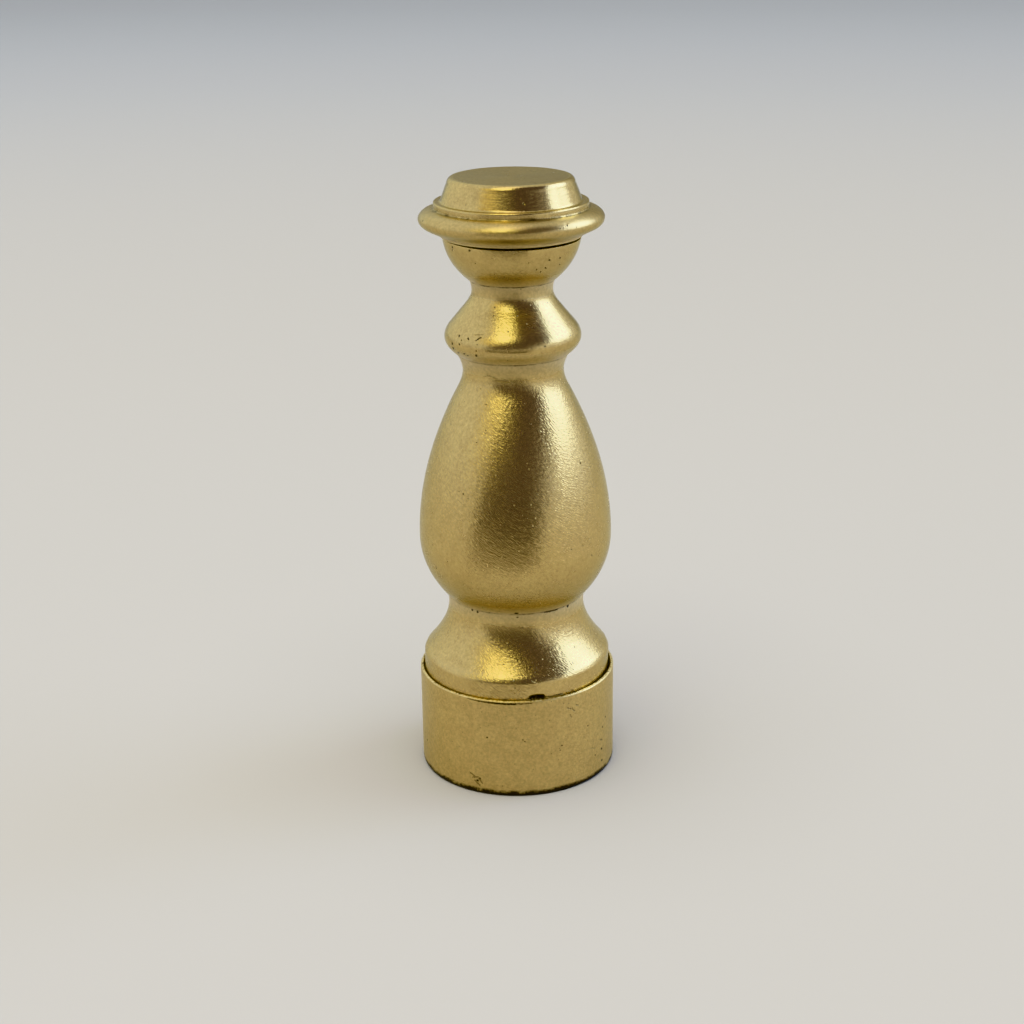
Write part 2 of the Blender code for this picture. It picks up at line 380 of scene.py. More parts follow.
def feed(tree, node, sources):
    """Set or link a node's sockets. A source is a node, a socket or a plain value."""
    for key, source in sources.items():
        if isinstance(source, bpy.types.Node):
            source = source.outputs[0]
        if isinstance(source, bpy.types.NodeSocket):
            tree.links.new(source, node.inputs[key])
        else:
            node.inputs[key].default_value = source


def add(tree, kind, sources=None, **settings):
    """Add a node with its settings, and feed its sockets."""
    node = tree.nodes.new(kind)
    node.location = (200 * len(tree.nodes), 0)
    for name, value in settings.items():
        setattr(node, name, value)
    feed(tree, node, sources or {})
    return node


def new_group(name, kind, inputs, output):
    """Node group with its named inputs and its output, and the sockets that bring the inputs in."""
    tree = bpy.data.node_groups.new(name, kind)
    for socket, socket_kind in inputs.items():
        tree.interface.new_socket(socket, in_out="INPUT", socket_type="NodeSocket" + socket_kind)
    tree.interface.new_socket(output[0], in_out="OUTPUT", socket_type="NodeSocket" + output[1])
    return tree, add(tree, "NodeGroupInput").outputs


def maths(tree, operation, *values, clamp=False):
    """Add a Math node."""
    return add(tree, "ShaderNodeMath", dict(enumerate(values)), operation=operation,
               use_clamp=clamp)


def vectors(tree, operation, *values):
    """Add a Vector Math node."""
    return add(tree, "ShaderNodeVectorMath", dict(enumerate(values)), operation=operation)


def scaled(tree, vector, factor):
    """A vector times a number."""
    return add(tree, "ShaderNodeVectorMath", {0: vector, "Scale": factor}, operation="SCALE")


def remap(tree, value, start, end, low=0.0, high=1.0, smooth=False):
    """A value that runs from start to end, made to run from low to high and held there."""
    return add(tree, "ShaderNodeMapRange", {0: value, 1: start, 2: end, 3: low, 4: high},
               interpolation_type="SMOOTHSTEP" if smooth else "LINEAR")


def blend(tree, amount, first, second):
    """A colour that goes from the first to the second as the amount grows."""
    node = add(tree, "ShaderNodeMix", {0: amount, 6: first, 7: second}, data_type="RGBA")
    return node.outputs[2]


def noise(tree, vector, size, detail, roughness=0.5):
    """A noise with features of one size, broken up by finer ones."""
    return add(tree, "ShaderNodeTexNoise",
               {"Vector": vector, "Scale": 1 / size, "Detail": detail, "Roughness": roughness})


def scatter(tree, vector, spacing):
    """Distance to the nearest of many scattered points, in shares of their spacing."""
    return add(tree, "ShaderNodeTexVoronoi", {"Vector": vector, "Scale": 1 / spacing})


def attribute(tree, name):
    """A number that the mesh carries."""
    return add(tree, "ShaderNodeAttribute", attribute_name=name).outputs["Fac"]


def sample(tree, geometry, value, index, kind="FLOAT"):
    """A value read at one point of another geometry."""
    return add(tree, "GeometryNodeSampleIndex", {0: geometry, 1: value, 2: index}, data_type=kind,
               domain="POINT")


def named(tree, field):
    """The number that each point keeps under a name."""
    return add(tree, "GeometryNodeInputNamedAttribute", {0: field}, data_type="FLOAT")


def store(tree, body, field, value):
    """Keep a number on each point of the body under a name."""
    return add(tree, "GeometryNodeStoreNamedAttribute", {0: body, "Name": field, "Value": value},
               data_type="FLOAT", domain="POINT")


# Lathe
LATHE_INPUTS = {
    "Profile": "Geometry",
    "Steps Round": "Int",
    "Thread Pitch": "Float",
    "Thread Depth": "Float",
    "Rim Lift": "Float",
    "Open Bearing": "Float",
    "Foot Lean": "Vector",
    "Dents": "Object",
    "Waver Depth": "Float",
    "Waver Size": "Float",
    "Seed": "Float",
    "Material": "Material",
}
WEAR_FIELDS = ("soil", "polish", "film")
PROFILE_FIELDS = (*WEAR_FIELDS, "thread", "rim", "foot")
OPEN_SHARE = 0.25
NO_HOLE = -1.0


def lathe_tree():
    """Geometry Nodes that turn a half section about Z, cut its thread and press in its dents."""
    tree, given = new_group("lathe", "GeometryNodeTree", LATHE_INPUTS, ("Piece", "Geometry"))

    # One row of vertices for each step round, one column for each point of the profile
    profile = given["Profile"]
    size = add(tree, "GeometryNodeAttributeDomainSize", {0: profile}, component="MESH")
    count = size.outputs["Point Count"]
    rows = maths(tree, "ADD", given["Steps Round"], 1.0)
    grid = add(tree, "GeometryNodeMeshGrid", {"Vertices X": rows, "Vertices Y": count})
    index = add(tree, "GeometryNodeInputIndex")
    ratio = maths(tree, "DIVIDE", index, count)
    row = maths(tree, "FLOOR", ratio)
    column = maths(tree, "MODULO", index, count)
    turn = maths(tree, "DIVIDE", row, given["Steps Round"])
    angle = maths(tree, "MULTIPLY", turn, -math.tau)

    # The profile's own place and fields at that column
    place = add(tree, "GeometryNodeInputPosition")
    sampled = {"place": sample(tree, profile, place, column, "FLOAT_VECTOR")}
    for field in PROFILE_FIELDS:
        sampled[field] = sample(tree, profile, named(tree, field), column)
    radius, _, height = add(tree, "ShaderNodeSeparateXYZ", {0: sampled["place"]}).outputs

    # Ridges of the thread stand in from the bore's wall and climb one pitch a turn
    climb = maths(tree, "DIVIDE", height, given["Thread Pitch"])
    phase = maths(tree, "ADD", climb, turn)
    ridge = maths(tree, "PINGPONG", phase, 0.5)
    depth = maths(tree, "MULTIPLY", given["Thread Depth"], sampled["thread"])
    inset = maths(tree, "MULTIPLY", ridge, depth)
    cut = maths(tree, "MULTIPLY_ADD", inset, -2.0, radius)

    # The rim rises away from the open bearing, where the seam above it closes
    away = maths(tree, "SUBTRACT", angle, given["Open Bearing"])
    facing = maths(tree, "COSINE", away)
    opened = maths(tree, "ADD", facing, OPEN_SHARE, clamp=True)
    closed = maths(tree, "SUBTRACT", 1.0, opened)
    lift = maths(tree, "MULTIPLY", closed, given["Rim Lift"])
    raised = maths(tree, "MULTIPLY_ADD", lift, sampled["rim"], height)

    # Round the axis
    cosine = maths(tree, "COSINE", angle)
    sine = maths(tree, "SINE", angle)
    x = maths(tree, "MULTIPLY", cut, cosine)
    y = maths(tree, "MULTIPLY", cut, sine)
    upright = add(tree, "ShaderNodeCombineXYZ", {0: x, 1: y, 2: raised})
    lean = scaled(tree, given["Foot Lean"], sampled["foot"])
    turned_place = vectors(tree, "ADD", upright, lean)
    body = grid
    for field in WEAR_FIELDS:
        body = store(tree, body, field, sampled[field])
    body = add(tree, "GeometryNodeSetPosition", {0: body, "Position": turned_place})
    body = add(tree, "GeometryNodeMergeByDistance", {0: body, "Distance": WELD_DISTANCE})

    # Dents are points with a size, a depth and dirt, pressed in as round hollows
    guide = add(tree, "GeometryNodeObjectInfo", {0: given["Dents"]}, transform_space="ORIGINAL")
    dents = guide.outputs["Geometry"]
    nearest = add(tree, "GeometryNodeSampleNearest", {0: dents}, domain="POINT")
    found = {"place": sample(tree, dents, place, nearest, "FLOAT_VECTOR")}
    for field in ("size", "depth", "dirt"):
        found[field] = sample(tree, dents, named(tree, field), nearest)
    gap = vectors(tree, "DISTANCE", place, found["place"])
    hollow = remap(tree, gap.outputs["Value"], found["size"], 0.0, smooth=True)
    dent = maths(tree, "MULTIPLY", hollow, found["depth"])

    # A slow waver from hand finishing
    rate = maths(tree, "DIVIDE", 1.0, given["Waver Size"])
    wave = add(tree, "ShaderNodeTexNoise", {"W": given["Seed"], "Scale": rate, "Detail": 1.0},
               noise_dimensions="4D")
    waver = maths(tree, "MULTIPLY", wave, given["Waver Depth"])
    inwards = maths(tree, "ADD", dent, waver)
    outwards = maths(tree, "MULTIPLY", inwards, -1.0)
    normal = add(tree, "GeometryNodeInputNormal")
    shift = scaled(tree, normal, outwards)

    # Dirt lies in the dents too
    dirt = maths(tree, "MULTIPLY", hollow, found["dirt"])
    new_soil = maths(tree, "MAXIMUM", named(tree, "soil"), dirt)
    body = store(tree, body, "soil", new_soil)
    body = add(tree, "GeometryNodeSetPosition", {0: body, "Offset": shift})

    body = add(tree, "GeometryNodeSetShadeSmooth", {0: body}, domain="FACE")
    body = add(tree, "GeometryNodeRealizeInstances", {0: body})
    body = add(tree, "GeometryNodeSetMaterial", {0: body, "Material": given["Material"]})
    add(tree, "NodeGroupOutput", {0: body})
    return tree


def marks_on(section, pits, scratches):
    """Start, end, half width and weight of each pit and scratch on an unrolled surface."""
    marks = []
    for bearing, height, width in pits:
        place = section.unrolled(bearing, height)
        marks.append((place, place, width / 2 * MM, 1.0))
    for start, start_height, end, end_height, width, weight in scratches:
        marks.append((section.unrolled(start, start_height), section.unrolled(end, end_height),
                      width / 2 * MM, weight))
    return marks


def points_object(name, places, fields, joined):
    """Mesh of points, joined in a row or loose, with a number field for each name."""
    mesh = bpy.data.meshes.new(name)
    edges = [(index, index + 1) for index in range(len(places) - 1)] if joined else []
    mesh.from_pydata(places, edges, [])
    for field, values in fields.items():
        mesh.attributes.new(field, "FLOAT", "POINT").data.foreach_set("value", values)
    return new_object(name, mesh)


def dents_object(name, section, dents):
    """Loose points where a piece is dented, from (degrees, mm up, mm wide, mm deep, dirt)."""
    places = [section.surface(bearing, height) for bearing, height, *_ in dents]
    fields = {
        "size": [width / 2 * MM for _, _, width, _, _ in dents],
        "depth": [depth * MM for _, _, _, depth, _ in dents],
        "dirt": [dirt for *_, dirt in dents],
    }
    return points_object(name, places, fields, joined=False)


def thread_field(path, hole_radius):
    """Strength of the thread at each point: whole in the bore, fading at its ends."""
    heights = [point.y for point in path if abs(point.x - hole_radius) < WELD_DISTANCE]
    low = min(heights, default=0.0)
    high = max(heights, default=0.0)
    return [min(1.0, (point.y - low) / (THREAD_PITCH / 2), (high - point.y) / (THREAD_PITCH / 2))
            if abs(point.x - hole_radius) < WELD_DISTANCE else 0.0 for point in path]


def foot_field(point):
    """Whole on the band that stands in the socket, fading to nothing at the arris above it."""
    if point.x < FOOT_INNER_RADIUS:
        return 0.0
    return min(1.0, max(0.0, (FOOT_ARRIS.y - point.y) / (FOOT_ARRIS.y - COLLAR_TOP.z)))


def turn_piece(name, node, section, material, dents, turning, hole_radius=NO_HOLE,
               rim_lift=0.0, foot_lean=(0.0, 0.0, 0.0)):
    """Turn a half section with the lathe tree, bake it and let it stand for its CAD node."""
    path = section.path
    top = path[0].y
    rim_reach = turning.rim_reach
    fields = {
        "soil": section.soil,
        "polish": section.polish,
        "film": section.film,
        "thread": thread_field(path, hole_radius),
        "rim": [max(0.0, 1 - (top - point.y) / rim_reach) for point in path],
        "foot": [foot_field(point) for point in path],
    }
    places = [(point.x, 0.0, point.y) for point in path]
    blank = points_object(name + "_blank", places, fields, joined=True)
    guide = dents_object(name + "_dents", section, dents)
    inputs = {
        "Steps Round": turning.steps_round,
        "Thread Pitch": THREAD_PITCH,
        "Thread Depth": turning.thread_depth,
        "Rim Lift": rim_lift,
        "Open Bearing": turning.open_bearing - math.pi / 2,
        "Foot Lean": foot_lean,
        "Dents": guide,
        "Waver Depth": turning.waver_depth,
        "Waver Size": turning.waver_size,
        "Seed": float(turning.seed),
        "Material": material,
    }
    tree = bpy.data.node_groups.get("lathe") or lathe_tree()
    lathe = blank.modifiers.new("Lathe", "NODES")
    lathe.node_group = tree
    for socket in tree.interface.items_tree:
        if socket.name in inputs:
            lathe[socket.identifier] = inputs[socket.name]
    graph = bpy.context.evaluated_depsgraph_get()
    mesh = bpy.data.meshes.new_from_object(blank.evaluated_get(graph), depsgraph=graph)
    mesh.name = name
    piece = new_object(name, mesh)
    bpy.data.objects.remove(blank)
    bpy.data.objects.remove(guide)
    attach(piece, "root")
    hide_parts(node)
    return piece


# Dents pressed into the pieces: degrees right of the front, mm up, mm wide, mm deep, dirt
COLLAR_DENTS = [(-20.0, 1.6, 0.7, 0.05, 0.0)]
CHIP_DENTS = [(bearing, 8.88, width, 0.30, 2.0) for bearing, width in
              ((7.5, 0.4), (9.5, 0.7), (11.5, 0.9), (13.5, 0.7), (15.5, 0.4))]
CAP_DENTS = [
    (36.0, 48.05, 0.35, 0.04, 0.3), (18.3, 50.05, 0.36, 0.025, 0.0),
    (18.0, 49.80, 0.36, 0.025, 0.0), (17.6, 49.55, 0.32, 0.020, 0.0),
]

# Small dirty pits: degrees right of the front, mm up, mm wide
COLLAR_PITS = [
    (-18.0, 5.35, 0.18), (4.0, 5.15, 0.16), (2.6, 5.3, 0.14), (5.6, 5.35, 0.12),
    (59.0, 2.3, 0.30), (59.5, 1.15, 0.30), (52.0, 2.1, 0.18), (-70.0, 2.6, 0.22),
    (64.0, 5.0, 0.22), (60.0, 4.3, 0.20), (26.0, 4.3, 0.18), (25.0, 3.9, 0.14),
    (45.0, 5.3, 0.16), (-24.5, 1.15, 0.26), (-22.8, 1.40, 0.22),
]
BALUSTER_PITS = [
    (-53.0, 38.65, 0.26), (-41.0, 38.6, 0.24), (-60.5, 37.9, 0.30), (-60.5, 37.5, 0.34),
    (-50.0, 38.05, 0.22), (-55.0, 37.2, 0.28), (-46.0, 37.3, 0.26), (-42.5, 37.2, 0.22),
    (-32.5, 37.35, 0.30), (-31.5, 37.8, 0.18), (-48.0, 38.4, 0.16), (27.0, 38.15, 0.20),
    (33.5, 44.9, 0.24), (45.0, 44.95, 0.22), (31.6, 44.25, 0.20), (22.5, 44.2, 0.16),
    (48.0, 44.35, 0.18), (27.5, 43.95, 0.18), (-57.0, 45.75, 0.26), (-58.2, 45.5, 0.18),
    (-36.0, 45.75, 0.28), (51.0, 28.2, 0.16), (50.5, 20.5, 0.16), (-34.0, 26.3, 0.15),
    (-56.5, 19.2, 0.18), (-39.5, 15.45, 0.26), (-34.0, 15.4, 0.26), (0.0, 15.7, 0.44),
    (0.8, 15.3, 0.2), (48.0, 15.45, 0.34), (-2.0, 10.5, 0.14), (-1.4, 9.9, 0.14),
    (-1.8, 9.4, 0.12),
]
CAP_PITS = [(35.7, 47.9, 0.18), (30.0, 47.75, 0.12), (42.0, 47.7, 0.12)]

# Scratches and smudges: degrees and mm up at each end, mm wide, weight
COLLAR_SCRATCHES = [
    (-29.0, 1.75, -26.5, 1.55, 0.20, 0.5), (-27.5, 1.35, -24.0, 1.50, 0.18, 0.6),
    (-26.0, 1.10, -23.0, 0.75, 0.20, 0.5), (-23.5, 1.35, -21.5, 1.00, 0.18, 0.5),
    (30.0, 7.65, 32.0, 7.50, 0.14, 0.6), (33.0, 7.50, 34.5, 7.20, 0.14, 0.5),
    (35.5, 7.70, 37.5, 7.60, 0.12, 0.6), (31.5, 7.00, 32.5, 6.70, 0.12, 0.4),
    # The next four marks run just under the rim across the front and darken a thin line there.
    (-30.0, 8.64, -21.0, 8.62, 0.12, 0.7), (-23.0, 8.61, -9.0, 8.60, 0.18, 0.9),
    (-12.0, 8.59, -1.0, 8.60, 0.20, 1.0), (0.0, 8.61, 8.0, 8.62, 0.12, 0.7),
    (57.0, 3.30, 60.0, 3.10, 0.16, 0.5), (48.0, 3.0, 52.0, 2.8, 0.12, 0.4),
]
BALUSTER_SCRATCHES = [
    (-32.5, 38.60, -28.5, 38.85, 0.12, 0.9), (-36.0, 38.95, -27.0, 39.05, 0.08, 0.4),
    (-30.0, 35.50, -20.0, 35.30, 0.10, 0.5), (-18.0, 35.05, -4.0, 35.00, 0.10, 0.35),
    (24.0, 15.52, 36.0, 15.50, 0.18, 0.9), (8.5, 10.45, 13.5, 10.15, 0.10, 0.5),
    (8.6, 8.92, 15.0, 8.92, 0.56, 1.6), (1.0, 8.80, 9.0, 8.86, 0.14, 1.0),
    (15.0, 8.86, 28.0, 8.86, 0.16, 1.0),
]
CAP_SCRATCHES = [(-56.0, 46.48, -44.0, 46.50, 0.14, 1.0)]


# Finishes. A pair is where a noise starts to count and where it counts in full
LINE_DRIFT = 0.12
COAT_ROUGHNESS = 0.3
ACROSS_THE_LINES = 0.25
RAGGED_SIZE = 0.10 * MM
RAGGED_REACH = 0.20 * MM
UPPER_BLEND = 1.0 * MM
NIB_REACH = 0.09
PATCHY = (0.3, 0.7)
DIRT_LEFT = (0.35, 0.6, 0.6, 1.3)
DIRT_BREAK = -0.25
DIRT_SOFTNESS = 0.4
SPECK_EDGE = (0.09, 0.03)
SPECK_DARKNESS = 0.7
RUBBED = (0.58, 0.43)
CLOUDED_ROUGHNESS = 0.06
FILM_ROUGHNESS = 0.3
DIRT_ROUGHNESS = 0.25


def mark_group():
    """Node group for how far a pit or scratch covers the metal, from its middle out to its edge."""
    inputs = {"Place": "Vector", "Start": "Vector", "End": "Vector", "Radius": "Float",
              "Weight": "Float"}
    tree, given = new_group("mark", "ShaderNodeTree", inputs, ("Cover", "Float"))
    run = vectors(tree, "SUBTRACT", given["End"], given["Start"])
    way = vectors(tree, "SUBTRACT", given["Place"], given["Start"])
    reached = vectors(tree, "DOT_PRODUCT", way, run)
    square = vectors(tree, "DOT_PRODUCT", run, run)
    along = maths(tree, "DIVIDE", reached.outputs["Value"], square.outputs["Value"], clamp=True)
    nearest = scaled(tree, run, along)
    gap = vectors(tree, "DISTANCE", way, nearest)
    depth = remap(tree, gap.outputs["Value"], given["Radius"], 0.0, high=2.0)
    whole = maths(tree, "MINIMUM", depth, 1.0)
    cover = maths(tree, "MULTIPLY", whole, given["Weight"])
    add(tree, "NodeGroupOutput", {0: cover})
    return tree


def brass(name, finish, surface, section, marks):
    """Worn brass, blasted and then brushed round, as the panel sets it.

    The eye gets a soft reflection broken up by a fine grain, dark brown dirt where the hand
    never reaches, which at the collar's foot is painted shade, a pale film of old polish beside
    it and a brighter edge where the hand always rubs, which also paints a highlight. Faces that
    look down take a darker tone: tarnish, and painted shade.
    """
    material, tree, shader = new_material(name)
    tangent = add(tree, "ShaderNodeTangent", direction_type="RADIAL", axis="Z")
    feed(tree, shader, {"Metallic": 1.0, "Specular Tint": (*finish.glancing, 1.0),
                        "Coat Weight": finish.lacquer, "Coat Roughness": COAT_ROUGHNESS,
                        "Anisotropic": surface.brushing, "Tangent": tangent,
                        "Anisotropic Rotation": ACROSS_THE_LINES})
    place = add(tree, "ShaderNodeTexCoord").outputs["Object"]
    x, y, height = add(tree, "ShaderNodeSeparateXYZ", {0: place}).outputs
    squares = maths(tree, "MULTIPLY", x, x)
    square = maths(tree, "MULTIPLY_ADD", y, y, squares)
    radius = maths(tree, "SQRT", square)
    front = maths(tree, "MULTIPLY", y, -1.0)
    bearing = maths(tree, "ARCTAN2", x, front)
    way_round = maths(tree, "MULTIPLY", bearing, radius)
    unrolled = add(tree, "ShaderNodeCombineXYZ", {0: way_round, 1: radius, 2: height})

    # Patches of duller metal, a darker tone on faces that look down, which is tarnish and painted
    # shade, and a grain of strokes that wind to the right
    patches = noise(tree, place, finish.patch_size, 4.0, 0.65)
    clouded = remap(tree, patches, *PATCHY)
    facing = add(tree, "ShaderNodeNewGeometry").outputs["Normal"]
    upwards = add(tree, "ShaderNodeSeparateXYZ", {0: facing}).outputs[2]
    below = maths(tree, "MULTIPLY", upwards, -1.0, clamp=True)
    wound = maths(tree, "MULTIPLY", height, surface.stroke_winding / MM)
    unwound = add(tree, "ShaderNodeVectorRotate", {"Vector": place, "Angle": wound},
                  rotation_type="Z_AXIS")
    strokes = vectors(tree, "MULTIPLY", unwound, (1.0, 1.0, surface.stroke_shortness))
    grain = noise(tree, strokes, surface.grain_size, 1.0)
    worn = blend(tree, clouded, (*finish.metal, 1.0), (*finish.dulled, 1.0))
    tone = blend(tree, below, worn, (*finish.tarnish_and_shade, 1.0))
    breaks = noise(tree, place, finish.dirt_size, 4.0, 0.7)
    film = attribute(tree, "film")
    if any(section.film):
        feed(tree, shader, {"Metallic": maths(tree, "SUBTRACT", 1.0, film, clamp=True)})
    filmed = blend(tree, film, tone, (*finish.filmed, 1.0))
    speck = remap(tree, breaks, *PATCHY, 1 - finish.speckle, 1 + finish.speckle)
    metal = scaled(tree, filmed, speck)

    # Dirt in the creases, and painted shade at the collar's foot, which comes and goes round the
    # axis and is broken up by a finer noise
    soil = attribute(tree, "soil")
    left = remap(tree, patches, *DIRT_LEFT)
    lasting = maths(tree, "MULTIPLY", soil, left)
    caught = maths(tree, "MULTIPLY_ADD", lasting, breaks, DIRT_BREAK)
    cover = remap(tree, caught, 0.0, DIRT_SOFTNESS)

    # Pits and scratches with ragged edges, and a scatter of tiny dark specks
    ragged = noise(tree, place, RAGGED_SIZE, 2.0)
    jog = vectors(tree, "SUBTRACT", ragged.outputs["Color"], (0.5, 0.5, 0.5))
    uneven = vectors(tree, "MULTIPLY_ADD", jog, (RAGGED_REACH,) * 3, unrolled)
    mark = bpy.data.node_groups.get("mark") or mark_group()
    specks = scatter(tree, place, surface.speck_spacing)
    pitted = remap(tree, specks, *SPECK_EDGE, high=SPECK_DARKNESS)
    for start, end, half_width, weight in marks:
        drawn = add(tree, "ShaderNodeGroup",
                    {"Place": uneven, "Start": start, "End": end, "Radius": half_width,
                     "Weight": weight}, node_tree=mark)
        pitted = maths(tree, "MAXIMUM", drawn, pitted, clamp=True)
    dirt = maths(tree, "MAXIMUM", cover, pitted)
    dirt_and_shade = blend(tree, dirt, metal, (*finish.dirt, 1.0))

    # Bright edges, rubbed through where the dirt breaks: rubbed brass, and a painted highlight on
    # the edges
    polish = attribute(tree, "polish")
    rubbed = remap(tree, breaks, *RUBBED)
    edge = maths(tree, "MULTIPLY", polish, rubbed, clamp=True)
    bright = blend(tree, edge, dirt_and_shade, (*finish.polish_glint, 1.0))

    # Relief: grain, tiny nibs that catch the light, brush lines round the axis, and the pits
    nibs = scatter(tree, strokes, surface.nib_spacing)
    nib = remap(tree, nibs, NIB_REACH, 0.0, smooth=True)
    along = vectors(tree, "MULTIPLY", place, (LINE_DRIFT, LINE_DRIFT, 1.0))
    lines = add(tree, "ShaderNodeTexNoise",
                {"Vector": along, "W": radius, "Scale": 1 / surface.line_spacing, "Detail": 2.0},
                noise_dimensions="4D")
    upper = remap(tree, height, surface.upper_from, surface.upper_from + UPPER_BLEND)
    depth = remap(tree, upper, 0.0, 1.0, surface.grain_height, surface.upper_grain_height)
    grained = maths(tree, "MULTIPLY", grain, depth)
    nibbed = maths(tree, "MULTIPLY_ADD", nib, finish.nib_height, grained)
    lined = maths(tree, "MULTIPLY_ADD", lines, surface.line_height, nibbed)
    relief = maths(tree, "MULTIPLY_ADD", pitted, -finish.pit_depth, lined)
    bump = add(tree, "ShaderNodeBump", {"Strength": 1.0, "Distance": 1.0, "Height": relief})

    # Dull patches, old polish and dirt are rougher
    plain = remap(tree, upper, 0.0, 1.0, surface.roughness, surface.upper_roughness)
    rough = maths(tree, "MULTIPLY_ADD", clouded, CLOUDED_ROUGHNESS, plain)
    waxy = maths(tree, "MULTIPLY_ADD", film, FILM_ROUGHNESS, rough)
    dry = maths(tree, "MULTIPLY_ADD", dirt, DIRT_ROUGHNESS, waxy)
    feed(tree, shader, {"Base Color": bright, "Roughness": dry, "Normal": bump})
    return material


def floor_paint(studio):
    """Matt pale paint that falls off into shade further out: a soft ground and no gloss."""
    material, tree, shader = new_material("matt pale paint")
    place = add(tree, "ShaderNodeTexCoord").outputs["Object"]
    away = vectors(tree, "LENGTH", place).outputs["Value"]
    fade = remap(tree, away, FLOOR_NEAR, FLOOR_FAR, smooth=True)
    tone = blend(tree, fade, (*studio.floor, 1.0), (*studio.floor_far, 1.0))
    feed(tree, shader, {"Base Color": tone, "Roughness": FLOOR_ROUGHNESS,
                        "Specular IOR Level": FLOOR_SHINE})
    return material


# Studio
CAMERA_PLACE = Vector((0.0, -142.5, 73.8)) * MM
CAMERA_PITCH = math.radians(19.8)
CAMERA_ROLL = math.radians(-0.77)
CAMERA_YAW = math.radians(0.106)
CAMERA_LENS = 63.0
CAMERA_SEES_FROM = 0.01
CAMERA_SEES_TO = 10.0
FLOOR_HALF_WIDTH = 2.0
FLOOR_GAP = 0.02 * MM
FLOOR_NEAR = 0.12
FLOOR_FAR = 0.75
FLOOR_ROUGHNESS = 0.9
FLOOR_SHINE = 0.1

# Patches of the sky, in degrees: bearing right of the camera, height, radius, softness of the edge
FAR_WALL = (180, -4, 34, 14)
NEAR_WALL = (-125, 28, 38, 20)
SHADE_LOW = (-2, 0, 42, 12)
DOORWAY = (76, 8, 31, 24)
WINDOW_LEFT = (82, 28, 7, 7)
WINDOW_RIGHT = (107, 33, 16, 5)
SHADE_HIGH = (40, 50, 32, 12)
LAMP_SPILL = (-44, 40, 13, 9)
LAMP = (-22, 57, 14, 3)
CEILING_GLOW = (-5, 84, 9, 6)

SHADE_CARD_PLACE = -62 * MM
SHADE_CARD_LEFT = -72 * MM
SHADE_CARD_RIGHT = 34 * MM
SHADE_CARD_HEIGHT = 24 * MM
CEILING_LIGHT_PLACE = Vector((-0.05, -0.18, 1.0))
CEILING_LIGHT_SIZE = 1.2


def glow(tree, direction, sky, patch, tint):
    """Lay a round patch of light or shade on the sky."""
    bearing, height, radius, softness = [math.radians(part) for part in patch]
    level = math.cos(height)
    centre = (math.sin(bearing) * level, -math.cos(bearing) * level, math.sin(height))
    facing = vectors(tree, "DOT_PRODUCT", direction, centre).outputs["Value"]
    inside = remap(tree, facing, math.cos(radius + softness), math.cos(radius - softness),
                   smooth=True)
    return blend(tree, inside, sky, (*tint, 1.0))


def studio_world(studio):
    """Soft light all round: pale walls, a warm lamp on the left, a cool window on the right."""
    world = bpy.data.worlds.new("studio")
    bpy.context.scene.world = world
    world.use_nodes = True
    tree = world.node_tree
    tree.nodes.clear()
    direction = add(tree, "ShaderNodeTexCoord").outputs["Generated"]
    doorway = studio.doorway * studio.doorway_strength
    window = studio.window * studio.window_strength
    ceiling = studio.ceiling * studio.ceiling_strength
    lamp = studio.lamp * studio.lamp_strength
    sky = (*studio.walls, 1.0)
    for patch, tint in ((FAR_WALL, studio.far_wall), (NEAR_WALL, studio.near_wall),
                        (SHADE_LOW, studio.shade), (DOORWAY, doorway), (WINDOW_LEFT, window),
                        (WINDOW_RIGHT, window), (SHADE_HIGH, studio.shade), (CEILING_GLOW, ceiling),
                        (LAMP_SPILL, studio.lamp_spill), (LAMP, lamp)):
        sky = glow(tree, direction, sky, patch, tint)
    light = add(tree, "ShaderNodeBackground", {0: sky})
    backdrop = add(tree, "ShaderNodeBackground", {0: (*studio.backdrop, 1.0)})
    seen = add(tree, "ShaderNodeLightPath").outputs["Is Camera Ray"]
    both = add(tree, "ShaderNodeMixShader", {0: seen, 1: light, 2: backdrop})
    add(tree, "ShaderNodeOutputWorld", {0: both})


def ceiling_light(studio):
    """Wide soft light overhead, which the metal does not mirror."""
    light = bpy.data.lights.new("ceiling light", "AREA")
    light.shape = "DISK"
    light.size = CEILING_LIGHT_SIZE
    light.energy = studio.ceiling_watts
    lamp = new_object("ceiling light", light)
    lamp.location = CEILING_LIGHT_PLACE
    lamp.visible_glossy = False
    lamp.visible_camera = False


def stage_sheet(name, corners, material):
    """Flat sheet of the stage between four corners."""
    mesh = bpy.data.meshes.new(name)
    mesh.from_pydata(corners, [], [(0, 1, 2, 3)])
    mesh.materials.append(material)
    sheet = new_object(name, mesh)
    return sheet


def studio_floor(studio):
    """Plain pale floor under the finial."""
    corners = [(x * FLOOR_HALF_WIDTH, y * FLOOR_HALF_WIDTH, -FLOOR_GAP) for x, y in
               ((-1, -1), (1, -1), (1, 1), (-1, 1))]
    stage_sheet("floor", corners, floor_paint(studio))


def shade_card(studio):
    """Dark card before the finial that only the metal mirrors, as a photographer's flag."""
    material, tree, shader = new_material("matt grey card")
    feed(tree, shader, {"Base Color": (*studio.card, 1.0), "Roughness": 1.0})
    corners = [(x, SHADE_CARD_PLACE, z) for x, z in
               ((SHADE_CARD_RIGHT, 0.0), (SHADE_CARD_LEFT, 0.0),
                (SHADE_CARD_LEFT, SHADE_CARD_HEIGHT), (SHADE_CARD_RIGHT, SHADE_CARD_HEIGHT))]
    card = stage_sheet("shade_card", corners, material)
    card.visible_camera = False
    card.visible_diffuse = False
    card.visible_shadow = False


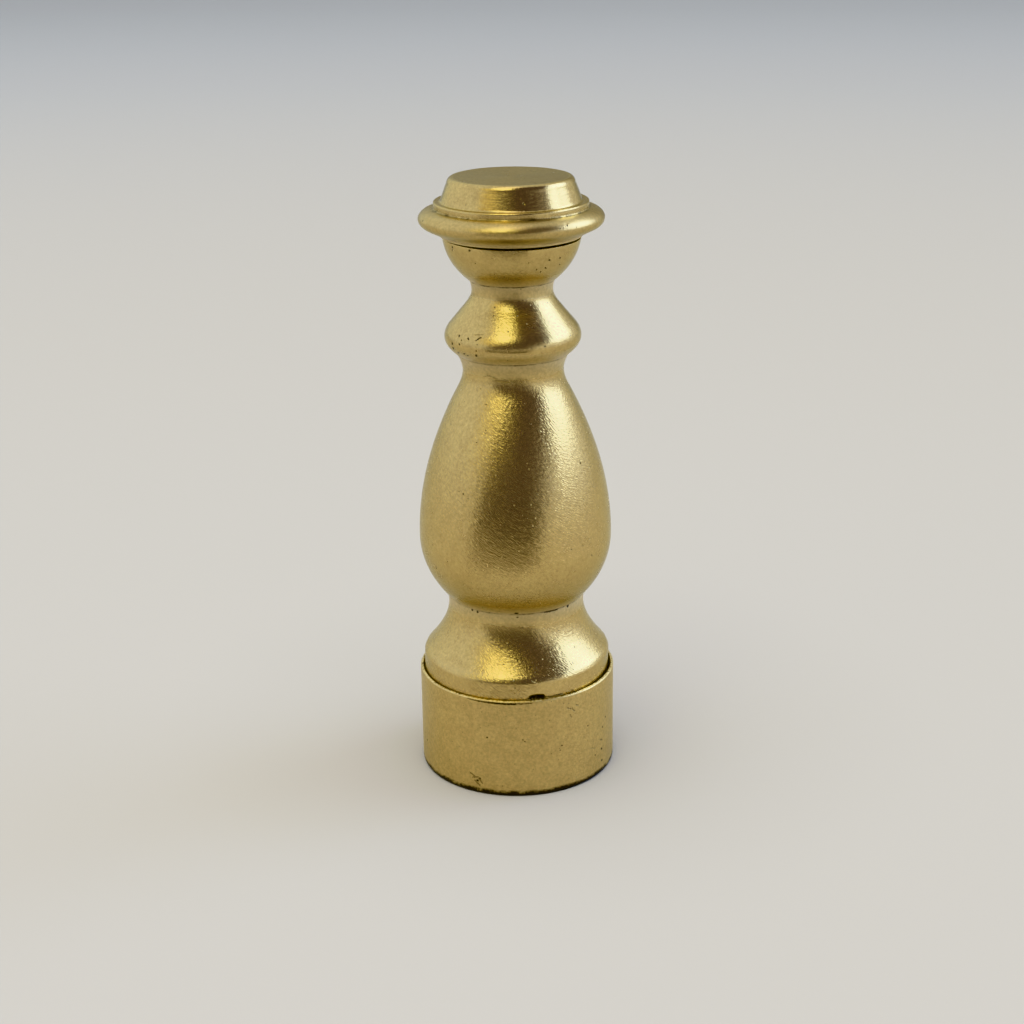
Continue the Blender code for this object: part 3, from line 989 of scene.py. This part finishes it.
def studio_camera():
    """Camera at the photograph's viewing angle, a little above the finial and slightly rolled."""
    data = bpy.data.cameras.new("camera")
    data.lens = CAMERA_LENS
    data.clip_start = CAMERA_SEES_FROM
    data.clip_end = CAMERA_SEES_TO
    camera = new_object("camera", data)
    aim = (Matrix.Rotation(CAMERA_YAW, 4, "Z")
           @ Matrix.Rotation(math.pi / 2 - CAMERA_PITCH, 4, "X")
           @ Matrix.Rotation(CAMERA_ROLL, 4, "Z"))
    camera.matrix_world = Matrix.Translation(CAMERA_PLACE) @ aim
    bpy.context.scene.camera = camera
    bpy.context.scene.view_settings.view_transform = "Khronos PBR Neutral"


# Settings that the panel shows. A piece's surface has for each its kind, name and description
SURFACE_SETTINGS = {
    "grain_size": (length, "Grain Size", "Size of the blasted grain, coarse enough to show"),
    "grain_height": (length, "Grain Height", "Height of the blasted grain"),
    "upper_from": (length, "Upper From", "Height at which the upper finish begins"),
    "upper_grain_height": (length, "Upper Grain Height", "Height of the grain on the upper part"),
    "stroke_winding": (share, "Stroke Winding", "Turn of the strokes, in radians for each mm down"),
    "stroke_shortness": (share, "Stroke Shortness", "Width of a stroke over its length"),
    "nib_spacing": (length, "Nib Spacing", "Distance between the nibs that catch the light"),
    "speck_spacing": (length, "Speck Spacing", "Distance between the tiny dark specks"),
    "line_spacing": (length, "Line Spacing", "Distance between brush lines"),
    "line_height": (length, "Line Height", "Height of the brush lines"),
    "roughness": (share, "Roughness", "How matt the metal is between the lines"),
    "upper_roughness": (share, "Upper Roughness", "How matt the upper part is"),
    "brushing": (share, "Brushing", "How far the lines spread a reflection across them"),
}


def surface_settings(**defaults):
    """The settings of one piece's surface, with its own defaults."""
    return {setting: kind(name, description, defaults[setting])
            for setting, (kind, name, description) in SURFACE_SETTINGS.items()}


class FinialTurning(bpy.types.PropertyGroup):
    """How finely the pieces are turned, and how true they run"""

    steps_round: IntProperty(name="Steps Round", description="Flats round each piece",
                             default=272, min=24)
    thread_depth: length("Thread Depth", "Height of the tapped hole's ridges", 0.46 * MM)
    open_bearing: side("Open Bearing", "Side where the seam under the cap is open", 32)
    rim_reach: length("Rim Reach", "How far down the bowl its closed side is drawn up", 1.2 * MM)
    rim_lift: length("Rim Lift", "How far the bowl is drawn up where the seam is closed", 0.16 * MM)
    waver_depth: length("Waver Depth", "Depth of the slow waver left by hand finishing", 0.02 * MM)
    waver_size: length("Waver Size", "Size of one wave", 3.5 * MM)
    foot_lean: length("Foot Lean", "How far the foot leans to the front in its socket", 0.09 * MM)
    lean_bearing: side("Lean Bearing", "Side that the foot leans to", -30)
    seed: IntProperty(name="Seed", description="Seed of the waver", default=3, min=0)


class FinialCollar(bpy.types.PropertyGroup):
    """Sizes of the base collar"""

    radius: length("Radius", "Outer radius of the drum", COLLAR_TOP.x)
    height: length("Height", "Height of the drum with its rim", COLLAR_TOP.z)
    socket_radius: length("Socket Radius", "Inner radius at the mouth", 8.10 * MM)
    socket_floor: length("Socket Floor", "Height of the floor under the baluster", 7.30 * MM)
    hole_radius: length("Hole Radius", "Nominal radius of the tapped hole", 3.175 * MM)
    __annotations__.update(surface_settings(
        grain_size=0.14 * MM, grain_height=0.045 * MM, upper_from=8.50 * MM,
        upper_grain_height=0.032 * MM, stroke_winding=0.0, stroke_shortness=1.0,
        nib_spacing=0.9 * MM, speck_spacing=0.6 * MM, line_spacing=0.16 * MM,
        line_height=0.014 * MM, roughness=0.36, upper_roughness=0.36, brushing=0.0))


class FinialBaluster(bpy.types.PropertyGroup):
    """Sizes of the baluster"""

    foot_radius: length("Foot Radius", "Radius of the band that stands in the collar", 7.95 * MM)
    vase_radius: length("Vase Radius", "Radius of the vase at its belly", 8.11 * MM)
    neck_radius: length("Neck Radius", "Radius of the neck over the vase", 4.16 * MM)
    bead_radius: length("Bead Radius", "Radius of the bead at its belly", 5.60 * MM)
    slim_neck_radius: length("Slim Neck Radius", "Radius of the slimmest neck", 3.31 * MM)
    rim_radius: length("Rim Radius", "Radius of the bowl at its rim", 5.61 * MM)
    __annotations__.update(surface_settings(
        grain_size=0.13 * MM, grain_height=0.031 * MM, upper_from=35.5 * MM,
        upper_grain_height=0.015 * MM, stroke_winding=1 / 6, stroke_shortness=0.5,
        nib_spacing=0.7 * MM, speck_spacing=0.8 * MM, line_spacing=0.16 * MM,
        line_height=0.006 * MM, roughness=0.22, upper_roughness=0.22, brushing=0.5))


class FinialCap(bpy.types.PropertyGroup):
    """Sizes of the cap"""

    height: length("Top Height", "Height of the knob's flat face over the ground", CAP_TOP.z)
    flange_radius: length("Flange Radius", "Radius of the round flange", CAP_TOP.x)
    drum_radius: length("Drum Radius", "Radius of the low drum on the flange", 6.24 * MM)
    face_radius: length("Face Radius", "Radius of the knob's flat face", 4.66 * MM)
    lip_radius: length("Lip Radius", "Radius of the lip that sits on the bowl", 5.72 * MM)
    __annotations__.update(surface_settings(
        grain_size=0.12 * MM, grain_height=0.014 * MM, upper_from=48.2 * MM,
        upper_grain_height=0.006 * MM, stroke_winding=0.0, stroke_shortness=1.0,
        nib_spacing=1.2 * MM, speck_spacing=1.4 * MM, line_spacing=0.13 * MM,
        line_height=0.012 * MM, roughness=0.27, upper_roughness=0.16, brushing=0.8))


class FinialFinish(bpy.types.PropertyGroup):
    """Colours and wear of the brass"""

    metal: colour("Metal", "Clean satin brass", "#d3ba7d")
    dulled: colour("Dulled", "Brass that has gone dull", "#c9af76")
    # Also painted shade on faces that look down.
    tarnish_and_shade: colour("Tarnished", "Brass underneath, where nothing rubs it", "#ac9864")
    filmed: colour("Filmed", "Pale film of old polish beside the creases", "#cbb684")
    # Also paints the highlight along rubbed edges, strongest on the collar's rim.
    polish_glint: colour("Polished", "Brass on rubbed edges", "#f8e6ac")
    glancing: colour("Glancing", "Tint of the metal seen at a glancing angle", "#e6e7ce")
    # The dirt colour also paints the contact shadow at the collar's foot.
    dirt: colour("Dirt", "Old polish and dirt in the creases", "#30240e")
    speckle: share("Speckle", "How much the tone varies from grain to grain", 0.18)
    lacquer: share("Lacquer", "Thin clear lacquer left on the metal", 0.4)
    patch_size: length("Patch Size", "Size of the dull patches", 1.2 * MM)
    dirt_size: length("Dirt Size", "Size of the breaks in the dirt", 0.25 * MM)
    pit_depth: length("Pit Depth", "Depth of the small pits", 0.04 * MM)
    nib_height: length("Nib Height", "Height of the nibs that catch the light", 0.016 * MM)


class FinialStudio(bpy.types.PropertyGroup):
    """Light and ground round the finial"""

    floor: colour("Floor", "Pale floor near the finial", "#94908a")
    floor_far: colour("Far Floor", "Pale floor further out", "#949495")
    backdrop: colour("Backdrop", "Plain ground behind the floor", "#c6c9cb")
    walls: colour("Walls", "Light from the room's pale walls", "#e4e8eb")
    near_wall: colour("Near Wall", "Brighter wall on the left", "#eff4f6")
    far_wall: colour("Far Wall", "Light from behind the finial", "#a6a195")
    shade: colour("Shade", "Dark gap between lamp and window", "#645d6b")
    card: colour("Card", "Dark card before the finial", "#625f66")
    lamp: colour("Lamp", "Warm light high on the left", "#ffffc2")
    lamp_strength: strength("Lamp Strength", "Strength of the lamp", 2.9)
    lamp_spill: colour("Lamp Spill", "Wall that the lamp lights", "#fff4c0")
    window: colour("Window", "Cool light on the right", "#c4daff")
    window_strength: strength("Window Strength", "Strength of the window", 7.2)
    doorway: colour("Doorway", "Light beside the window", "#e6eefc")
    doorway_strength: strength("Doorway Strength", "Strength of the light beside the window", 1.2)
    ceiling: colour("Ceiling", "Bright ceiling straight above", "#fff8e6")
    ceiling_strength: strength("Ceiling Strength", "Strength of the bright ceiling", 2.2)
    ceiling_watts: strength("Ceiling Watts", "Power of the overhead light", 20.0)


class FinialSettings(bpy.types.PropertyGroup):
    """All of the finial's settings"""

    turning: PointerProperty(type=FinialTurning)
    collar: PointerProperty(type=FinialCollar)
    baluster: PointerProperty(type=FinialBaluster)
    cap: PointerProperty(type=FinialCap)
    finish: PointerProperty(type=FinialFinish)
    studio: PointerProperty(type=FinialStudio)


# Operators


class FINIAL_OT_collar(bpy.types.Operator):
    """Turn the base collar"""

    bl_idname = "finial.collar"
    bl_label = "Base Collar"

    def execute(self, context):
        finial = context.scene.finial
        section = collar_section(finial.collar)
        marks = marks_on(section, COLLAR_PITS, COLLAR_SCRATCHES)
        material = brass("matt brass", finial.finish, finial.collar, section, marks)
        turn_piece("drum_collar", "base_collar", section, material, COLLAR_DENTS,
                   finial.turning, finial.collar.hole_radius)
        return {"FINISHED"}


class FINIAL_OT_baluster(bpy.types.Operator):
    """Turn the baluster"""

    bl_idname = "finial.baluster"
    bl_label = "Baluster"

    def execute(self, context):
        finial = context.scene.finial
        section = baluster_section(finial.baluster, finial.collar.hole_radius)
        marks = marks_on(section, BALUSTER_PITS, BALUSTER_SCRATCHES)
        material = brass("satin brass", finial.finish, finial.baluster, section, marks)
        turning = finial.turning
        lean = Vector((math.sin(turning.lean_bearing), -math.cos(turning.lean_bearing), 0.0))
        turn_piece("turned_baluster", "baluster", section, material, CHIP_DENTS,
                   turning, finial.collar.hole_radius, turning.rim_lift, lean * turning.foot_lean)
        return {"FINISHED"}


class FINIAL_OT_cap(bpy.types.Operator):
    """Turn the cap"""

    bl_idname = "finial.cap"
    bl_label = "Cap"

    def execute(self, context):
        finial = context.scene.finial
        section = cap_section(finial.cap)
        marks = marks_on(section, CAP_PITS, CAP_SCRATCHES)
        material = brass("brushed brass", finial.finish, finial.cap, section, marks)
        turn_piece("flanged_cap", "cap", section, material, CAP_DENTS,
                   finial.turning)
        return {"FINISHED"}


class FINIAL_OT_studio(bpy.types.Operator):
    """Set up the floor, the light and the camera"""

    bl_idname = "finial.studio"
    bl_label = "Studio"

    def execute(self, context):
        studio = context.scene.finial.studio
        studio_world(studio)
        ceiling_light(studio)
        studio_floor(studio)
        shade_card(studio)
        studio_camera()
        return {"FINISHED"}


class FINIAL_PT_panel(bpy.types.Panel):
    """Sidebar panel with the finial's settings and pieces"""

    bl_idname = "FINIAL_PT_panel"
    bl_label = "Brass Lamp Finial"
    bl_space_type = "VIEW_3D"
    bl_region_type = "UI"
    bl_category = "Finial"

    def draw(self, context):
        finial = context.scene.finial
        for group in (finial.turning, finial.collar, finial.baluster, finial.cap, finial.finish,
                      finial.studio):
            box = self.layout.box()
            box.label(text=group.bl_rna.description)
            for name in group.bl_rna.properties.keys():
                if name not in ("rna_type", "name"):
                    box.prop(group, name)
        for operator in OPERATORS:
            self.layout.operator(operator.bl_idname)


OPERATORS = (FINIAL_OT_collar, FINIAL_OT_baluster, FINIAL_OT_cap, FINIAL_OT_studio)
GROUPS = (FinialTurning, FinialCollar, FinialBaluster, FinialCap, FinialFinish, FinialStudio,
          FinialSettings)


def register():
    """Add the classes and the scene's settings."""
    for cls in (*GROUPS, *OPERATORS, FINIAL_PT_panel):
        bpy.utils.register_class(cls)
    bpy.types.Scene.finial = PointerProperty(type=FinialSettings)


def unregister():
    """Take them away again."""
    del bpy.types.Scene.finial
    for cls in reversed((*GROUPS, *OPERATORS, FINIAL_PT_panel)):
        bpy.utils.unregister_class(cls)


def main():
    """Make every piece and the studio."""
    register()
    bpy.ops.finial.collar()
    bpy.ops.finial.baluster()
    bpy.ops.finial.cap()
    bpy.ops.finial.studio()


if __name__ == "__main__":
    main()
